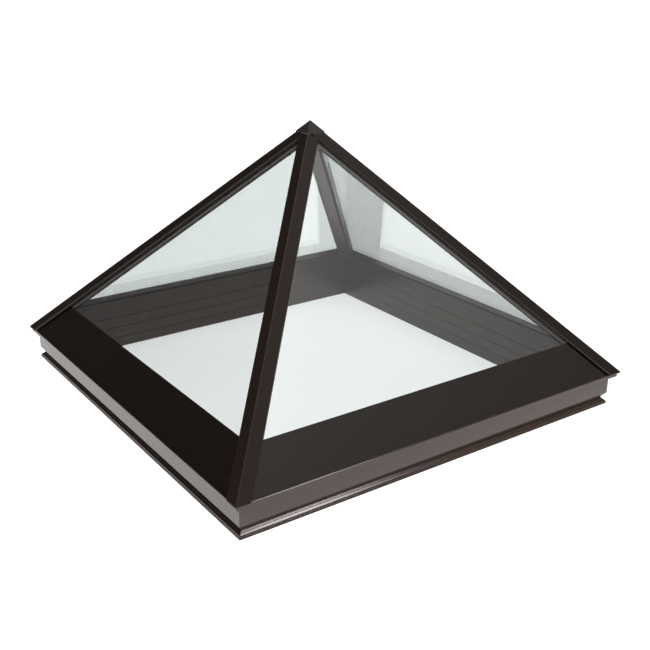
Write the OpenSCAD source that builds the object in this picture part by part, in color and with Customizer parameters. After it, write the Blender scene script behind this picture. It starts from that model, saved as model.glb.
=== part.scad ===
// Fixed pyramid roof skylight: four insulated glass faces on a square aluminium sill,
// with a rafter and a cover cap along each hip and a small cap on the apex.
// Millimetres, +Z up. The origin is the middle of the underside, level with the roof curb.
//
// Each side is drawn once as the front side, which faces -Y, and turned into its place.
// Each hip is drawn once as the front left hip, and turned into its place.
// A sill section is drawn in (u, z): u is the distance out from the middle of the skylight.
// On the glass slope, s runs up the slope from the lip and d is the depth under the glass.

/* [Overall] */
// Width of the sill over its lip, on both sides of the square
lip_w = 1220; // [900:10:1600]
// Pitch of the glass faces above level, in degrees
pitch = 47; // [40:1:52]
// Height of the lip's top edge above the curb
lip_h = 93; // [84:1:130]

/* [Sill] */
// Depth of the sill from its outer face in to the inner wall
sill_depth = 66; // [58:1:90]
// How far the lip stands out past the outer face
lip_out = 15; // [6:1:25]
// Height of the lip's outer edge
lip_edge = 9.5; // [6:0.5:14]
// Wall thickness of the hollow sill
sill_wall = 3.2; // [2:0.2:4.4]
// Height at which the flat outer face starts
face_foot = 32; // [26:1:44]
// Height of the neck between the chamfer and the flange
neck_h = 17; // [14:1:22]
// Depth of the neck behind the outer face
neck_in = 11; // [7:1:14]
// How far the flange's tip stands out past the outer face
flange_out = 1; // [0:0.5:12]
// Height of the knee where the flange turns steeper
knee_h = 9; // [6:0.5:12]
// Depth of the knee behind the flange's tip
knee_in = 2.5; // [1:0.5:4]
// Thickness of the flange, measured level
flange_t = 3.7; // [2.5:0.1:5]
// Height of the flange's blunt tip
tip_h = 2.5; // [1.5:0.5:4]
// Width of the fine lines pressed along the chamfer and the flange
line_w = 1.4; // [0.8:0.1:2]
// Depth of those lines
line_d = 0.7; // [0.3:0.1:1]
// Width of each groove along the inner wall
groove_w = 2.5; // [2:0.5:8]
// Depth of each groove along the inner wall
groove_d = 1; // [0.6:0.1:1.8]
// Height of the lowest groove
groove_first = 32; // [20:1:40]
// Height from one groove to the next
groove_step = 34; // [20:1:40]
// Width of the stop that holds the foot of the outer panes
stop_w = 3; // [2:0.5:5]
// Height of the level web inside the sill
web_h = 74; // [60:1:80]
// Gap between two sills at a mitre
mitre_gap = 0.2; // [0:0.1:1]

/* [Corner keys] */
// Length of each leg of a corner key
key_leg = 90; // [60:5:140]
// Height of a corner key
key_h = 24; // [12:1:30]
// Clearance around a corner key, on each side
key_gap = 0.3; // [0.1:0.1:0.8]

/* [Glass] */
// Thickness of the outer panes
outer_t = 4; // [4:1:8]
// Width of the cavity between the panes
cavity = 6; // [5:1:16]
// Thickness of the inner panes
inner_t = 4; // [4:1:8]
// Thickness of the dark border layer under the foot of each outer pane
border_t = 0.5; // [0.3:0.1:1]
// Width of the dark border, up the slope from the lip
border_w = 122; // [115:1:150]
// Gap between the stop and the foot of an outer pane
pane_gap = 0.3; // [0.1:0.1:1]
// Distance of each pane's edge from the middle of the hip
pane_edge = 7; // [5:1:10]
// Half width of the cut point at the top of each pane
pane_nip = 8; // [4:1:15]
// Width of the spacer bar
spacer_w = 12; // [6:1:16]
// How far the spacer bar lies in from the pane's edge
spacer_in = 6.5; // [3:0.5:10]

/* [Bedding] */
// Thickness of the tapes and gaskets that the glass lies on
bed_t = 1.5; // [1:0.5:3]
// Width of each tape on the sill
tape_w = 12; // [8:1:16]
// Gap between the tapes and the edges or steps beside them
tape_in = 3; // [1:0.5:5]
// Gap between the rafter gaskets and the edges beside them
bed_in = 2; // [1:0.5:3]
// Thickness of the setting blocks under the inner panes
block_t = 4; // [3:1:6]
// Length of each setting block
block_len = 60; // [40:5:100]
// Slope distance from the lip to the shoulder that carries the setting blocks
shoulder_s = 74; // [70:1:78]

/* [Hips] */
// Width of a rafter
rafter_w = 30; // [26:1:38]
// Depth of a rafter's side faces
rafter_d = 5; // [4:0.5:20]
// Wall thickness of a rafter
rafter_wall = 2.4; // [2:0.1:3]
// Width of the slot in a rafter's spine
slot_w = 3; // [2.6:0.1:3.4]
// Thickness of each side of the spine
spine_t = 2; // [1.6:0.1:2.4]
// Depth of the spine's top below the hip line
spine_top = 5; // [3:0.5:8]
// Width of a hip cap
cap_w = 54; // [48:1:64]
// Height of a hip cap's top face above the glass
cap_h = 8; // [6:0.5:10]
// Thickness of a hip cap
cap_t = 2.4; // [2:0.1:3]
// How far a hip cap's edges turn down below its underside
cap_edge = 0.4; // [0.2:0.1:2.6]
// Width of the flat along the top of a hip cap
cap_flat = 1.6; // [1:0.2:3]
// How far a hip cap's foot stands out past the lip
cap_out = 6; // [2:1:12]
// Thickness of the leg that holds a hip cap in the spine
leg_t = 2.4; // [2:0.1:2.5]
// Depth of the leg's foot below the hip line
leg_d = 11; // [9:0.5:16]
// Width of each gasket under a hip cap
gasket_w = 8; // [6:1:10]
// How far each gasket lies in from the cap's edge
gasket_in = 5; // [4:0.5:6]
// Length of the plug that closes the foot of a hip cap
plug_len = 8; // [5:1:14]

/* [Apex] */
// Half width of the apex cap
apex_half = 28; // [24:1:34]
// Thickness of the apex cap
apex_t = 1.8; // [1.6:0.1:3]
// Gap between the apex cap and the hip caps
apex_gap = 0.2; // [0:0.1:0.5]
// Distance from the middle to the faces of the hub
hub_r = 26; // [22:1:44]
// How far the hub reaches below the ends of the rafters
hub_drop = 4; // [0:1:20]
// Length of each hub arm inside its rafter
arm_len = 40; // [30:1:60]
// Clearance around the arms and foot blocks in the rafters
arm_gap = 0.3; // [0.1:0.1:0.6]
// Length of each foot block
foot_len = 60; // [40:1:80]

/* [Screws] */
// Radius of a screw's shank
screw_r = 2; // [1.5:0.1:2.2]
// Radius of a screw's head
head_r = 3.4; // [2.6:0.1:3.6]
// Height of a screw's head
head_t = 1.8; // [1.2:0.1:2.4]
// Radial clearance of a screw in its hole
screw_gap = 0.05; // [0.02:0.01:0.2]
// Length of a rafter screw under its head
screw_len = 8; // [6:0.5:9]
// Length of an apex screw under its head
apex_screw_len = 6; // [5.5:0.1:7]
// Distance of the apex screws from the apex cap's lower edge, up the slope
apex_screw_in = 6; // [5:1:9]
// Distance of the apex screws from the middle of their face
apex_screw_side = 10.5; // [6:0.5:14]

/* [Hidden] */
$fn = 32;
SIDES = ["front", "right", "back", "left"];
HIPS = ["front_left", "front_right", "back_right", "back_left"];
BRONZE = "#3b322e";
DARK = "#1b1816";
SEAL = "#0e0e0f";
GLASS = [0.80, 0.88, 0.88, 0.35];
MILL = "#a9abad";

// How far a shape that cuts another runs past it.
past = 60;

half = lip_w / 2;
face = half - lip_out;
inner = face - sill_depth;
neck = face - neck_in;
tip = face + flange_out;
lip_foot = lip_h - lip_edge;

// The hips, seen square to the hip line: hip_tilt is how far it falls below level,
// and wing is how far each glass face falls below level across the hip.
hip_tilt = atan(tan(pitch) / sqrt(2));
plan_k = sqrt(1 + cos(pitch) * cos(pitch));
wing = atan(sin(pitch) / plan_k);
apex_z = lip_h + half * tan(pitch);
hip_len = (half + cap_out + past) * sqrt(2) / cos(hip_tilt);
tall = apex_z + past;

// Heights and depths of the glazing, measured square to the glass.
seat_d = outer_t + border_t + bed_t;
glass_d = outer_t + cavity + inner_t;
ledge_d = glass_d + bed_t;
seat_s = stop_w + pane_gap;
inner_s = shoulder_s + block_t;
gasket_h = cap_h - cap_t;
pane_in = pane_edge / cos(wing);
plug_out = on_face(seat_s, outer_t)[0];

rafter_half = rafter_w / 2;
cap_half = cap_w / 2;
foot_diag = inner * sqrt(2);
rafter_foot = wing_n(rafter_half, ledge_d) - rafter_d;
hub_foot = apex_z - hub_r * tan(hip_tilt) + rafter_foot / cos(hip_tilt) - hub_drop;
apex_screw_s = (half - apex_half) / cos(pitch) + apex_screw_in;

// An outline from its right half, which runs down from the middle: the left half mirrors it.
function both_sides(half_outline) = concat(half_outline,
    [for (k = [len(half_outline) - 1:-1:0]) if (half_outline[k][0] > 0)
        [-half_outline[k][0], half_outline[k][1]]]);

// A point of the sill section, s up the slope from the lip and d below the glass.
function on_face(s, d) =
    [half - s * cos(pitch) - d * sin(pitch), lip_h + s * sin(pitch) - d * cos(pitch)];

// Height of the plane d below the glass, at a distance u out from the middle.
function face_z(u, d) = lip_h + (half - u) * tan(pitch) - d / cos(pitch);

// Height of that plane in a hip section, w out from the middle of the hip.
function wing_n(w, d) = -abs(w) * tan(wing) - d / cos(wing);

// Corners from a to b, with a V groove in the material at each distance in the list.
function grooved(a, b, places, w, d) =
    let (dir = (b - a) / norm(b - a), into = [-dir[1], dir[0]])
    [a, for (x = places) each [a + dir * (x - w / 2), a + dir * x + into * d, a + dir * (x + w / 2)], b];

module turned(i) rotate([0, 0, 90 * i]) children();

// A frame on the front glass face: X along the side, Y up the slope, Z out of the glass.
module on_slope() translate([0, -half, lip_h]) rotate([pitch, 0, 0]) children();

// A frame on the front left hip: X across it, Y square out of it, Z down along it from the apex.
module on_hip() translate([0, 0, apex_z]) rotate([90 + hip_tilt, 0, -45]) children();

// Everything that lies over a shape drawn in plan.
module over_plan(points) translate([0, 0, -past]) linear_extrude(tall + past) polygon(points);

// The front quarter between the two mitres, kept back from each by half the gap.
module between_mitres(gap)
    over_plan([[0, -gap / sqrt(2)], [lip_w, -gap / sqrt(2) - lip_w], [-lip_w, -gap / sqrt(2) - lip_w]]);

// The square around the front left hip, from near the middle out to a reach on both sides.
module hip_square(near, reach)
    over_plan([[-near, -near], [-near, -reach], [-reach, -reach], [-reach, -near]]);

// A strip across the front left hip between two distances along the diagonal, inside the walls.
module hip_stretch(from, to)
    intersection() {
        over_plan([[past, past], [past, -inner], [-inner, -inner], [-inner, past]]);
        rotate([0, 0, -135]) over_plan([[from, -past], [to, -past], [to, past], [from, past]]);
    }

// --- Sill ---

// Outline of the sill: base, flange with its knee, chamfer, outer face, lip, seat, ledge, inner wall.
function sill_outline() =
    let (flange_k = (neck_h - tip_h) / (tip - neck),
         knee = [tip - knee_in, knee_h],
         knee_len = norm([knee_in, knee_h - tip_h]),
         flange_len = norm([knee[0] - neck, neck_h - knee_h]),
         chamfer_len = norm([neck_in, face_foot - neck_h]),
         ledge_end = [inner, face_z(inner, ledge_d)])
    concat(
        [[inner, 0], [neck - sill_wall, 0],
         [neck - sill_wall, flange_k * (tip - flange_t - neck + sill_wall)],
         [tip - flange_t, 0], [tip, 0]],
        grooved([tip, tip_h], knee, [knee_len / 2], line_w, line_d),
        grooved(knee, [neck, neck_h], [flange_len / 2], line_w, line_d),
        grooved([neck, neck_h], [face, face_foot], [chamfer_len / 2], line_w, line_d),
        grooved([face, lip_foot], [half, lip_foot], [lip_out * 2 / 3], line_w, line_d),
        [[half, lip_h], on_face(stop_w, 0), on_face(stop_w, seat_d), on_face(shoulder_s, seat_d),
         on_face(shoulder_s, ledge_d)],
        grooved(ledge_end, [inner, 0],
            [for (k = [2, 1, 0]) ledge_end[1] - groove_first - k * groove_step], groove_w, groove_d));

// The chamber below the web, which holds the corner keys.
module lower_chamber()
    polygon([[inner + sill_wall, sill_wall], [neck - 2 * sill_wall, sill_wall],
        [neck - 2 * sill_wall, neck_h], [face - sill_wall, face_foot + sill_wall],
        [face - sill_wall, web_h], [inner + sill_wall, web_h]]);

// The chamber above the web, under the seat and the ledge.
module upper_chamber() {
    floor_z = web_h + sill_wall;
    under_seat = seat_d + sill_wall;
    under_ledge = ledge_d + sill_wall;
    polygon([[inner + sill_wall, floor_z], [face - sill_wall, floor_z],
        [face - sill_wall, face_z(face - sill_wall, under_seat)],
        on_face(shoulder_s - sill_wall, under_seat), on_face(shoulder_s - sill_wall, under_ledge),
        [inner + sill_wall, face_z(inner + sill_wall, under_ledge)]]);
}

module sill(i) color(BRONZE) turned(i) intersection() {
    rotate([90, 0, -90]) linear_extrude(lip_w, center = true) difference() {
        polygon(sill_outline());
        lower_chamber();
        upper_chamber();
    }
    between_mitres(mitre_gap);
}

// An L-shaped key that ties two sills together inside their lower chambers.
module corner_key(i) color(MILL) turned(i) {
    out = neck - 2 * sill_wall - key_gap;
    in = inner + sill_wall + key_gap;
    translate([0, 0, sill_wall]) linear_extrude(key_h)
        polygon([[-out, -out], [key_leg - out, -out], [key_leg - out, -in], [-in, -in],
            [-in, key_leg - out], [-out, key_leg - out]]);
}

// --- Glass ---

// The outline of a pane at depth foot_d, starting at slope distance s0. Its slanting edges lie an
// in-plane distance edge from the hip line, and its point is cut off.
function face_outline(foot_d, s0, edge, nip) =
    let (reach = half - foot_d * sin(pitch) - edge * plan_k,
         foot = reach - s0 * cos(pitch),
         peak = (reach - nip) / cos(pitch))
    [[-foot, s0], [foot, s0], [nip, peak], [-nip, peak]];

// A slab in the front glass face from depth top_d to foot_d, with that outline.
module face_slab(top_d, foot_d, s0, edge, nip) on_slope() translate([0, 0, -foot_d])
    linear_extrude(foot_d - top_d) polygon(face_outline(foot_d, s0, edge, nip));

module outer_pane(i) color(GLASS) turned(i) face_slab(0, outer_t, seat_s, pane_in, pane_nip);

module inner_pane(i) color(GLASS) turned(i)
    face_slab(outer_t + cavity, glass_d, inner_s, pane_in, pane_nip);

// The bar between the panes, round all their edges, as one closed frame.
module spacer(i) color(MILL) turned(i) on_slope() translate([0, 0, -outer_t - cavity])
    linear_extrude(cavity - border_t) difference() {
        polygon(face_outline(outer_t + cavity, inner_s + spacer_in, pane_in + spacer_in, pane_nip));
        polygon(face_outline(outer_t + cavity, inner_s + spacer_in + spacer_w,
            pane_in + spacer_in + spacer_w, pane_nip));
    }

// The opaque border bonded under the foot of the outer pane.
module border(i) color(DARK) turned(i) intersection() {
    face_slab(outer_t, outer_t + border_t, seat_s, pane_in, pane_nip);
    on_slope() translate([-half, 0, -half]) cube([lip_w, border_w, lip_w]);
}

// --- Bedding ---

// A strip along the front sill, from slope distance s0, between two depths.
module strip(s0, width, top_d, foot_d) intersection() {
    on_slope() translate([-half, s0, -foot_d]) cube([lip_w, width, foot_d - top_d]);
    between_mitres(2 * tape_in);
}

// Two tapes under the outer pane, on the seat, and one under the inner pane, on the ledge.
module tapes(i) color(SEAL) turned(i) {
    strip(seat_s + tape_in, tape_w, seat_d - bed_t, seat_d);
    strip(shoulder_s - tape_in - tape_w, tape_w, seat_d - bed_t, seat_d);
    strip(inner_s + tape_in / 2, tape_w, glass_d, ledge_d);
}

// Two blocks on each shoulder, under the foot of the inner pane.
module setting_blocks() color(SEAL) for (i = [0:3], side = [-1, 1]) turned(i)
    on_slope() translate([side * half / 2 - block_len / 2, shoulder_s, -ledge_d])
        cube([block_len, block_t, ledge_d - outer_t - cavity]);

// --- Hips ---

// Half of a hip section between two heights over the glass, from w0 to w1 across.
module wing_strip(w0, w1, low, high) for (side = [-1, 1])
    polygon([[side * w0, wing_n(w0, -low)], [side * w1, wing_n(w1, -low)],
        [side * w1, wing_n(w1, -high)], [side * w0, wing_n(w0, -high)]]);

// The house-shaped section inside a rafter, taken in on every side by a margin.
module rafter_core(margin) intersection() {
    w = rafter_half - margin;
    under = ledge_d + margin;
    polygon(both_sides([[0, wing_n(0, under)], [w, wing_n(w, under)], [w, -past]]));
    translate([-rafter_half, rafter_foot + margin]) square([rafter_w, past]);
}

// A rafter's section: a hollow house shape, with a slotted spine that stands between the panes.
module rafter_section() difference() {
    spine_out = slot_w / 2 + spine_t;
    polygon(both_sides([[0, wing_n(0, ledge_d)], [slot_w / 2, wing_n(slot_w / 2, ledge_d)],
        [slot_w / 2, -spine_top], [spine_out, -spine_top], [spine_out, wing_n(spine_out, ledge_d)],
        [rafter_half, wing_n(rafter_half, ledge_d)], [rafter_half, rafter_foot]]));
    rafter_core(rafter_wall);
}

// The places of the four screws in a rafter's underside, a quarter of the way in from each end of
// the hub's arm and of the foot block. Z points out of the underside.
module at_rafter_screws()
    for (reach = [[hub_r, hub_r + arm_len], [foot_diag - foot_len, foot_diag]], k = [1, 3]) {
        diag = (reach[0] * (4 - k) + reach[1] * k) / 4;
        on_hip() translate([0, rafter_foot, (diag - rafter_foot * sin(hip_tilt)) / cos(hip_tilt)])
            rotate([90, 0, 0]) children();
    }

module screw_hole() translate([0, 0, -screw_len - screw_gap])
    cylinder(h = screw_len + 2 * head_t, r = screw_r + screw_gap);

module rafter(i) color(BRONZE) turned(i) difference() {
    intersection() {
        on_hip() linear_extrude(hip_len) rafter_section();
        hip_stretch(hub_r, foot_diag + past);
    }
    at_rafter_screws() screw_hole();
}

// A solid length of metal that fills a rafter, between two distances along the diagonal.
module rafter_filler(from, to) difference() {
    intersection() {
        on_hip() linear_extrude(hip_len) rafter_core(rafter_wall + arm_gap);
        hip_stretch(from, to);
    }
    at_rafter_screws() screw_hole();
}

module foot_block(i) color(MILL) turned(i) rafter_filler(foot_diag - foot_len, foot_diag + past);

// Screws with round heads, through the rafters' undersides.
module rafter_screws() color(BRONZE) for (i = [0:3]) turned(i) at_rafter_screws() {
    cylinder(h = head_t, r = head_r);
    translate([0, 0, -screw_len]) cylinder(h = screw_len, r = screw_r);
}

// Gaskets between a rafter and the inner panes beside it.
module rafter_gaskets(i) color(SEAL) turned(i) intersection() {
    on_hip() linear_extrude(hip_len)
        wing_strip(pane_edge + bed_in, rafter_half - bed_in, -ledge_d, -glass_d);
    hip_square(mitre_gap, inner);
}

// Gaskets between a hip cap and the outer panes beside it.
module hip_gaskets(i) color(SEAL) turned(i) intersection() {
    on_hip() linear_extrude(hip_len)
        wing_strip(cap_half - gasket_in - gasket_w, cap_half - gasket_in, 0, gasket_h);
    hip_square(mitre_gap, plug_out - plug_len - mitre_gap);
}

// Plugs that close the feet of the hip caps, over the joint between the outer panes.
module hip_plugs() color(SEAL) for (i = [0:3]) turned(i) {
    w = cap_half - gasket_in;
    out = plug_out;
    in = plug_out - plug_len;
    intersection() {
        on_hip() linear_extrude(hip_len)
            polygon(both_sides([[0, wing_n(0, -gasket_h)], [w, wing_n(w, -gasket_h)], [w, wing_n(w, 0)],
                [pane_edge, wing_n(pane_edge, 0)]]));
        over_plan([[-out, -out], [0, -out], [0, -in], [-in, -in], [-in, 0], [-out, 0]]);
    }
}

// A hip cap's section: two wings along the glass with turned-down edges.
module cap_section() {
    edge = cap_half - cap_t;
    low = gasket_h - cap_edge;
    polygon(both_sides([[cap_flat / 2, wing_n(cap_flat / 2, -cap_h)], [cap_half, wing_n(cap_half, -cap_h)],
        [cap_half, wing_n(cap_half, -low)], [edge, wing_n(edge, -low)],
        [edge, wing_n(edge, -gasket_h)], [0, wing_n(0, -gasket_h)]]));
}

// The place of the apex screw on one face, with Z out of the glass.
module at_apex_screw() on_slope() translate([-apex_screw_side, apex_screw_s, 0]) children();

module hip_cap(i) color(BRONZE) turned(i) difference() {
    union() {
        intersection() {
            on_hip() linear_extrude(hip_len) cap_section();
            hip_square(mitre_gap, half + cap_out);
        }
        intersection() {
            on_hip() linear_extrude(hip_len)
                translate([-leg_t / 2, -leg_d]) square([leg_t, leg_d + wing_n(0, -gasket_h) + cap_t / 2]);
            hip_stretch(hub_r + arm_len, foot_diag - foot_len);
        }
    }
    at_apex_screw() cylinder(h = 2 * cap_h, r = screw_r + screw_gap);
}

// --- Apex ---

// A pyramid with the glass's pitch whose faces lie a depth d under the glass.
module pyramid(d) {
    top = apex_z - d / cos(pitch);
    intersection_for (turn = [0, 90]) rotate([90, 0, turn]) linear_extrude(lip_w, center = true)
        polygon([[-half, top - half * tan(pitch)], [half, top - half * tan(pitch)], [0, top]]);
}

// The hub: a diamond block under the glass with an arm into each rafter.
module apex_hub() color(BRONZE) {
    r = hub_r * sqrt(2);
    intersection() {
        pyramid(ledge_d);
        translate([0, 0, hub_foot]) linear_extrude(tall) polygon([[r, 0], [0, r], [-r, 0], [0, -r]]);
    }
    for (i = [0:3]) turned(i) rafter_filler(hub_r - rafter_wall, hub_r + arm_len);
}

module apex_cap() color(BRONZE) difference() {
    intersection() {
        pyramid(-cap_h - apex_gap - apex_t);
        linear_extrude(tall) square(2 * apex_half, center = true);
    }
    pyramid(-cap_h - apex_gap);
    for (i = [0:3]) turned(i) at_apex_screw() cylinder(h = 3 * cap_h, r = screw_r + screw_gap);
}

module apex_screws() color(BRONZE) for (i = [0:3]) turned(i)
    at_apex_screw() translate([0, 0, cap_h + apex_gap + apex_t]) {
        cylinder(h = head_t, r = head_r);
        translate([0, 0, -apex_screw_len]) cylinder(h = apex_screw_len, r = screw_r);
    }

for (i = [0:3]) {
    sill(i);
    outer_pane(i);
    inner_pane(i);
    spacer(i);
    border(i);
    tapes(i);
    corner_key(i);
    rafter(i);
    foot_block(i);
    rafter_gaskets(i);
    hip_gaskets(i);
    hip_cap(i);
}
setting_blocks();
hip_plugs();
apex_hub();
apex_cap();
apex_screws();
rafter_screws();
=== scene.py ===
"""The looks of a fixed pyramid roof skylight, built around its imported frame.

Metres, +Z up, in the frame's own axes: the sides are named front (-Y), right (+X), back (+Y) and
left (-X), and the hips by the two sides that they join.
"""

import math

import bpy
from mathutils import Matrix, Vector


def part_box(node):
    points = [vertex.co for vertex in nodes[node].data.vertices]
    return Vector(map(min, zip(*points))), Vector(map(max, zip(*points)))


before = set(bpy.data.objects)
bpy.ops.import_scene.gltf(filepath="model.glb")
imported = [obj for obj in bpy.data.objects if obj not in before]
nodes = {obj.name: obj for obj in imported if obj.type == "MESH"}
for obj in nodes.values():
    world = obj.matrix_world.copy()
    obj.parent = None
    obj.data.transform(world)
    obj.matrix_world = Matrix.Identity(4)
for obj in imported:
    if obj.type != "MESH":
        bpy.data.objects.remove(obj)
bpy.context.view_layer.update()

SIDES = ["front", "right", "back", "left"]
HIPS = ["front_left", "front_right", "back_right", "back_left"]
ALONG_SIDE = {"front": (1, 0, 0), "right": (0, 1, 0), "back": (1, 0, 0), "left": (0, 1, 0)}

# --- Places read from the frame ---

LIP_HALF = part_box("sill_front")[1].x
INNER_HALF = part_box("sill_back")[0].y


def hip_direction(hip):
    """The level direction from the middle to a hip's foot, which is a corner of the square."""
    low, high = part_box("hip_cap_" + hip)
    middle = (low + high) / 2
    return Vector((math.copysign(1, middle.x), math.copysign(1, middle.y), 0)).normalized()


def hip_line(hip):
    """The direction of a hip down its slope."""
    low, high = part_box("hip_cap_" + hip)
    run = hip_direction(hip) * Vector((high.x - low.x, high.y - low.y)).length
    return (run - Vector((0, 0, high.z - low.z))).normalized()


# --- Node trees ---


class Net:
    """A node tree, with one call that adds a node, sets it up and wires it."""

    def __init__(self, owner):
        owner.use_nodes = True
        self.tree = owner.node_tree
        self.tree.nodes.clear()

    def add(self, kind, inputs=None, **settings):
        made = self.tree.nodes.new("ShaderNode" + kind)
        for key, value in settings.items():
            setattr(made, key, value)
        for key, value in (inputs or {}).items():
            if isinstance(value, bpy.types.NodeSocket):
                self.tree.links.new(value, made.inputs[key])
            else:
                made.inputs[key].default_value = value
        return made

    def math(self, operation, a, b=0.0, clamp=False):
        return self.add("Math", {0: a, 1: b}, operation=operation, use_clamp=clamp).outputs[0]

    def noise(self, where, scale, detail=2.0, roughness=0.5):
        made = self.add("TexNoise", {"Vector": where, "Scale": scale, "Detail": detail,
                                     "Roughness": roughness})
        return made.outputs["Fac"]

    def spread(self, value, low, high):
        """The value, from 0 to 1, spread between low and high."""
        made = self.add("MapRange", {"Value": value, "To Min": low, "To Max": high})
        return made.outputs["Result"]


def colour(r, g, b):
    """A colour socket's value, opaque."""
    return (r, g, b, 1.0)


def shade(base, factor):
    """A colour made lighter or darker."""
    return colour(*(min(1.0, c * factor) for c in base))


def mix_colours(net, factor, a, b):
    """Two colours mixed by a factor. Each of the three is a value or a socket."""
    made = net.add("Mix", data_type="RGBA")
    for socket, value in zip((made.inputs[0], made.inputs[6], made.inputs[7]), (factor, a, b)):
        if isinstance(value, bpy.types.NodeSocket):
            net.tree.links.new(value, socket)
        else:
            socket.default_value = value
    return made.outputs[2]


def along_coordinates(net, along, stretch):
    """Object coordinates turned so that X runs along a direction, and squeezed there by stretch."""
    place = net.add("TexCoord").outputs["Object"]
    along = Vector(along).normalized()
    side = along.orthogonal().normalized()
    out = along.cross(side)
    parts = []
    for axis, scale in ((along, 1 / stretch), (side, 1.0), (out, 1.0)):
        dot = net.add("VectorMath", {0: place, 1: axis * scale}, operation="DOT_PRODUCT")
        parts.append(dot.outputs["Value"])
    return net.add("CombineXYZ", {"X": parts[0], "Y": parts[1], "Z": parts[2]}).outputs[0]


def edge_mask(net, rounded, sharpness):
    """How close a point is to an edge, from 0 to 1: there the rounded normal leaves the flat one."""
    flat = net.add("NewGeometry").outputs["True Normal"]
    dot = net.add("VectorMath", {0: rounded, 1: flat}, operation="DOT_PRODUCT").outputs["Value"]
    return net.add("MapRange", {"Value": dot, "From Min": 1.0, "From Max": sharpness}).outputs["Result"]


# --- Materials ---

BRONZE = (0.030, 0.0165, 0.0115)
CAP_BRONZE = (0.020, 0.012, 0.009)
APEX_BRONZE = (0.031, 0.026, 0.025)
# Edge colours: partly wear on the edges, partly a painted highlight along them.
EDGE_WEAR_AND_HIGHLIGHT = (0.16, 0.13, 0.115)
CAP_EDGE_WEAR_AND_HIGHLIGHT = (0.09, 0.075, 0.065)
GLOSS_TINT = (1.0, 0.96, 0.955)
FINE_EDGE = 0.0003


def painted_metal(name, base, roughness, along, edge_radius=0.0006, edge_rub_and_highlight=EDGE_WEAR_AND_HIGHLIGHT, gloss=0.5):
    """Satin paint on an extrusion: faint die lines along it, fine speckle, soft patches, and edges made
    lighter partly by wear and partly by a painted highlight.
    """
    material = bpy.data.materials.new(name)
    net = Net(material)
    place = net.add("TexCoord").outputs["Object"]
    lines = net.noise(along_coordinates(net, along, 200), 900, 2)
    peel = net.noise(place, 1100, 2)
    patches = net.noise(place, 4, 3)
    rounded = net.add("Bevel", {"Radius": edge_radius}, samples=6).outputs["Normal"]
    height = net.math("ADD", net.math("MULTIPLY", lines, 0.3), net.math("MULTIPLY", peel, 0.7))
    bump = net.add("Bump", {"Strength": 0.2, "Distance": 0.00004, "Height": height, "Normal": rounded})
    edges = edge_mask(net, rounded, 0.86)
    # Lighter colour on the edges, in patches: partly wear, partly a painted edge highlight.
    rub_and_highlight_mask = net.math("MULTIPLY", edges, net.spread(net.noise(place, 60, 3), 0.1, 0.8))
    paint = mix_colours(net, patches, shade(base, 0.93), shade(base, 1.07))
    rubbed_and_highlit = mix_colours(net, rub_and_highlight_mask, paint, colour(*edge_rub_and_highlight))
    rough = net.math("ADD", net.spread(patches, roughness - 0.02, roughness + 0.02),
                     net.spread(lines, -0.008, 0.008))
    shader = net.add("BsdfPrincipled", {"Base Color": rubbed_and_highlit, "Roughness": rough,
                                        "Specular Tint": colour(*GLOSS_TINT),
                                        "Specular IOR Level": gloss, "Normal": bump.outputs["Normal"]})
    net.add("OutputMaterial", {"Surface": shader.outputs[0]})
    return material


def clear_glass(name, tint, haze):
    """A flat pane that passes light straight through. Its near face mirrors for both faces."""
    material = bpy.data.materials.new(name)
    net = Net(material)
    place = net.add("TexCoord").outputs["Object"]
    waves = net.noise(place, 3.0, 1)
    bump = net.add("Bump", {"Strength": 0.35, "Distance": 0.0012, "Height": waves}).outputs["Normal"]
    fresnel = net.add("Fresnel", {"IOR": 1.5, "Normal": bump}).outputs[0]
    both = net.math("DIVIDE", net.math("MULTIPLY", fresnel, 2.0), net.math("ADD", fresnel, 1.0))
    away = net.add("NewGeometry").outputs["Backfacing"]
    share = net.math("MULTIPLY", both, net.math("SUBTRACT", 1.0, away))
    clear = net.add("BsdfTransparent", {"Color": colour(*tint)}).outputs[0]
    mirror = net.add("BsdfGlossy", {"Color": colour(1, 1, 1), "Roughness": 0.02, "Normal": bump}).outputs[0]
    pane = net.add("MixShader", {0: share, 1: clear, 2: mirror}).outputs[0]
    smears = net.noise(along_coordinates(net, (0, 0, 1), 3), 3, 4, 0.55)
    film = net.spread(smears, haze * 0.4, haze * 1.6)
    dust = net.add("BsdfDiffuse", {"Color": colour(0.75, 0.76, 0.74)}).outputs[0]
    whole = net.add("MixShader", {0: film, 1: pane, 2: dust}).outputs[0]
    net.add("OutputMaterial", {"Surface": whole})
    return material


def printed_border(name, base):
    """The opaque enamel behind the foot of an outer pane."""
    material = bpy.data.materials.new(name)
    net = Net(material)
    place = net.add("TexCoord").outputs["Object"]
    mottle = net.noise(place, 14, 4)
    grain = net.noise(place, 1600, 1)
    print_colour = mix_colours(net, mottle, shade(base, 0.92), shade(base, 1.08))
    bump = net.add("Bump", {"Strength": 0.2, "Distance": 0.00003, "Height": grain}).outputs["Normal"]
    rough = net.spread(mottle, 0.45, 0.6)
    shader = net.add("BsdfPrincipled", {"Base Color": print_colour, "Roughness": rough,
                                        "Normal": bump, "Specular IOR Level": 0.05})
    net.add("OutputMaterial", {"Surface": shader.outputs[0]})
    return material


def rubber(name, base):
    """Extruded black seal: matt, with a fine grain and a patchy grey bloom."""
    material = bpy.data.materials.new(name)
    net = Net(material)
    place = net.add("TexCoord").outputs["Object"]
    grain = net.noise(place, 1400, 3)
    bloom = net.noise(place, 25, 4)
    bump = net.add("Bump", {"Strength": 0.4, "Distance": 0.0001, "Height": grain}).outputs["Normal"]
    tone = mix_colours(net, bloom, shade(base, 0.8), shade(base, 1.5))
    shader = net.add("BsdfPrincipled", {"Base Color": tone, "Roughness": net.spread(bloom, 0.55, 0.75),
                                        "Normal": bump})
    net.add("OutputMaterial", {"Surface": shader.outputs[0]})
    return material


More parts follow.
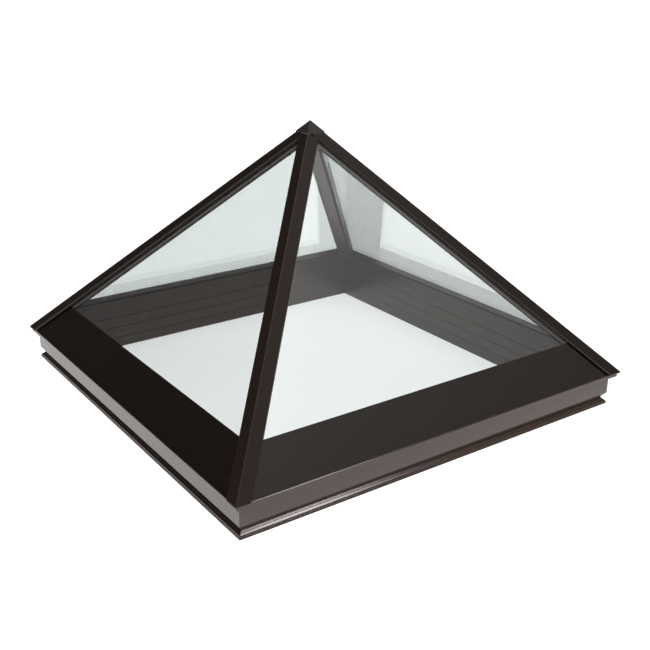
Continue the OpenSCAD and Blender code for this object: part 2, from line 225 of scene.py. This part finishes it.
def bare_metal(name, base, roughness):
    """Bare metal with fine scratches and soft stains."""
    material = bpy.data.materials.new(name)
    net = Net(material)
    place = net.add("TexCoord").outputs["Object"]
    scratches = net.noise(along_coordinates(net, (1, 0.4, 0.2), 40), 1800, 3)
    stains = net.noise(place, 40, 4)
    rounded = net.add("Bevel", {"Radius": FINE_EDGE}, samples=4).outputs["Normal"]
    bump = net.add("Bump", {"Strength": 0.3, "Distance": 0.00003, "Height": scratches, "Normal": rounded})
    tone = mix_colours(net, stains, shade(base, 0.85), shade(base, 1.1))
    shader = net.add("BsdfPrincipled", {"Base Color": tone, "Metallic": 1.0,
                                        "Roughness": net.spread(stains, roughness - 0.06, roughness + 0.08),
                                        "Normal": bump.outputs["Normal"]})
    net.add("OutputMaterial", {"Surface": shader.outputs[0]})
    return material


sill_paint = {s: painted_metal("bronze_sill_" + s, BRONZE, 0.27, ALONG_SIDE[s]) for s in SIDES}
cap_paint = {h: painted_metal("bronze_cap_" + h, CAP_BRONZE, 0.34, hip_line(h), edge_rub_and_highlight=CAP_EDGE_WEAR_AND_HIGHLIGHT,
                              gloss=0.38) for h in HIPS}
rafter_paint = {h: painted_metal("bronze_rafter_" + h, BRONZE, 0.30, hip_line(h)) for h in HIPS}
apex_paint = painted_metal("bronze_apex", APEX_BRONZE, 0.38, (1, 1, 0))
screw_paint = painted_metal("bronze_screw", BRONZE, 0.30, (0, 0, 1), edge_radius=FINE_EDGE)
glass = clear_glass("glass_clear", tint=(0.975, 0.986, 0.983), haze=0.002)
border = printed_border("border_print", (0.012, 0.005, 0.002))
seal = rubber("seal_black", (0.010, 0.010, 0.0105))
spacer = painted_metal("spacer_dull", (0.12, 0.105, 0.095), 0.45, (1, 0, 0), edge_radius=FINE_EDGE)
mill = bare_metal("aluminium_mill", (0.62, 0.63, 0.64), 0.36)


def paint_node(name, material):
    """Puts a material on a CAD node, over whatever finish it came with."""
    piece = nodes[name]
    if not piece.data.materials:
        piece.data.materials.append(material)
    for slot in piece.material_slots:
        slot.material = material


for side in SIDES:
    paint_node("sill_" + side, sill_paint[side])
    paint_node("outer_pane_" + side, glass)
    paint_node("inner_pane_" + side, glass)
    paint_node("spacer_" + side, spacer)
    paint_node("border_" + side, border)
    paint_node("tapes_" + side, seal)
for hip in HIPS:
    paint_node("corner_key_" + hip, mill)
    paint_node("rafter_" + hip, rafter_paint[hip])
    paint_node("foot_block_" + hip, mill)
    paint_node("rafter_gaskets_" + hip, seal)
    paint_node("hip_gaskets_" + hip, seal)
    paint_node("hip_cap_" + hip, cap_paint[hip])
for name, material in (("setting_blocks", seal), ("hip_plugs", seal), ("apex_hub", apex_paint),
                       ("apex_cap", apex_paint), ("apex_screws", screw_paint),
                       ("rafter_screws", screw_paint)):
    paint_node(name, material)

# --- Floor, light and camera ---


def floor_material(name, glow, aprons):
    """A pale floor with an even glow, and a stronger one beside the skylight's near sides.

    Each apron is an axis, the width over which its glow fades out past the lip, and its strength.
    """
    material = bpy.data.materials.new(name)
    net = Net(material)
    place = net.add("TexCoord").outputs["Object"]
    tone = mix_colours(net, net.noise(place, 2, 2), colour(0.59, 0.59, 0.59), colour(0.61, 0.61, 0.61))
    apart = net.add("SeparateXYZ", {0: place})
    level = glow
    for axis, width, extra in aprons:
        out = net.math("MULTIPLY", apart.outputs[axis], -1.0)
        rise = net.add("MapRange", {"Value": out, "From Min": INNER_HALF, "From Max": LIP_HALF})
        fall = net.add("MapRange", {"Value": out, "From Min": LIP_HALF, "From Max": LIP_HALF + width,
                                    "To Min": extra, "To Max": 0.0}, interpolation_type="SMOOTHSTEP")
        level = net.math("ADD", level, net.math("MULTIPLY", rise.outputs[0], fall.outputs[0]))
    pale = net.add("BsdfDiffuse", {"Color": tone})
    light = net.add("Emission", {"Strength": level})
    both = net.add("AddShader", {0: pale.outputs[0], 1: light.outputs[0]})
    net.add("OutputMaterial", {"Surface": both.outputs[0]})
    return material


def floor_piece(name, size, height, material):
    """A level square under the skylight."""
    bpy.ops.mesh.primitive_plane_add(size=size, location=(0, 0, height))
    floor = bpy.context.object
    floor.name = name
    floor.data.materials.append(material)


def studio_world(lobes, fill, backdrop):
    """Soft lobes of light that fade to a dim fill, in front of a white backdrop.

    Each lobe is the direction that it comes from, its strength and how tight it is.
    """
    world = bpy.data.worlds.new("studio")
    net = Net(world)
    direction = net.add("TexCoord").outputs["Generated"]
    level = fill
    for middle, strength, tightness in lobes:
        axis = Vector(middle).normalized()
        near = net.add("VectorMath", {0: direction, 1: axis}, operation="DOT_PRODUCT")
        lobe = net.math("POWER", net.math("MAXIMUM", near.outputs["Value"], 0.0), tightness)
        level = net.math("ADD", net.math("MULTIPLY", lobe, strength), level)
    light = net.add("Background", {"Color": colour(1.0, 0.995, 0.985), "Strength": level})
    white = net.add("Background", {"Color": colour(1, 1, 1), "Strength": backdrop})
    seen = net.add("LightPath").outputs["Is Camera Ray"]
    both = net.add("MixShader", {0: seen, 1: light.outputs[0], 2: white.outputs[0]})
    net.add("OutputWorld", {"Surface": both.outputs[0]})
    bpy.context.scene.world = world


def soft_box(name, place, target, size, power):
    """A square lamp at a place, turned to a target."""
    data = bpy.data.lights.new(name, "AREA")
    data.shape = "SQUARE"
    data.size = size
    data.energy = power
    lamp = bpy.data.objects.new(name, data)
    bpy.context.scene.collection.objects.link(lamp)
    lamp.location = place
    lamp.rotation_euler = (Vector(target) - Vector(place)).to_track_quat("-Z", "Y").to_euler()
    return lamp


def accent(name, node, place, target, size, power):
    """A soft box that lights one node alone, and picks out the fine lines along it."""
    lamp = soft_box(name, place, target, size, power)
    only = bpy.data.collections.new(name + "_receivers")
    only.objects.link(nodes[node])
    lamp.light_linking.receiver_collection = only


def studio_camera(azimuth, elevation, distance, across, above, lens, shift):
    """A camera that looks past the middle of the base: across and above move it in its own plane."""
    a, e = math.radians(azimuth), math.radians(elevation)
    back = Vector((math.sin(a) * math.cos(e), -math.cos(a) * math.cos(e), math.sin(e)))
    right = Vector((math.cos(a), math.sin(a), 0))
    up = back.cross(right)
    data = bpy.data.cameras.new("camera")
    data.sensor_width = 36
    data.lens = lens
    data.shift_x, data.shift_y = shift
    camera = bpy.data.objects.new("camera", data)
    bpy.context.scene.collection.objects.link(camera)
    camera.location = back * distance + right * across + up * above
    camera.rotation_mode = "QUATERNION"
    camera.rotation_quaternion = Matrix((right, up, back)).transposed().to_quaternion()
    bpy.context.scene.camera = camera


FLOOR_SIZE = 120
FLOOR_Z = -0.0008
ROOM_Z = -0.0004

around = floor_material("floor_pale", glow=0.98, aprons=[("X", 0.3, 0.6), ("Y", 0.3, 0.35)])
# The floor within the curb glows less than the floor around it: painted shade from the sills.
within_painted_shade = floor_material("room_painted_shade", glow=0.76, aprons=[])
floor_piece("studio_floor", FLOOR_SIZE, FLOOR_Z, around)
floor_piece("room_floor_painted_shade", 2 * INNER_HALF, ROOM_Z, within_painted_shade)
studio_world([((0, 0, 1), 2.1, 9), ((0.35, -0.3, 0.89), 0.34, 5)], fill=0.032, backdrop=1.15)
key = soft_box("key_light", place=(-0.9, -2.6, 1.6), target=(0, 0, 0.3), size=1.5, power=20)
key.visible_glossy = False
accent("flange_light", "sill_front", place=(0.35, -1.29, 1.33), target=(-0.45, -0.59, 0.01),
       size=0.45, power=15)
studio_camera(azimuth=-33.85, elevation=19.47, distance=2.8865, across=-0.0551, above=0.2755,
              lens=54.27, shift=(0.0542, -0.0621))
bpy.context.scene.view_settings.view_transform = "Standard"
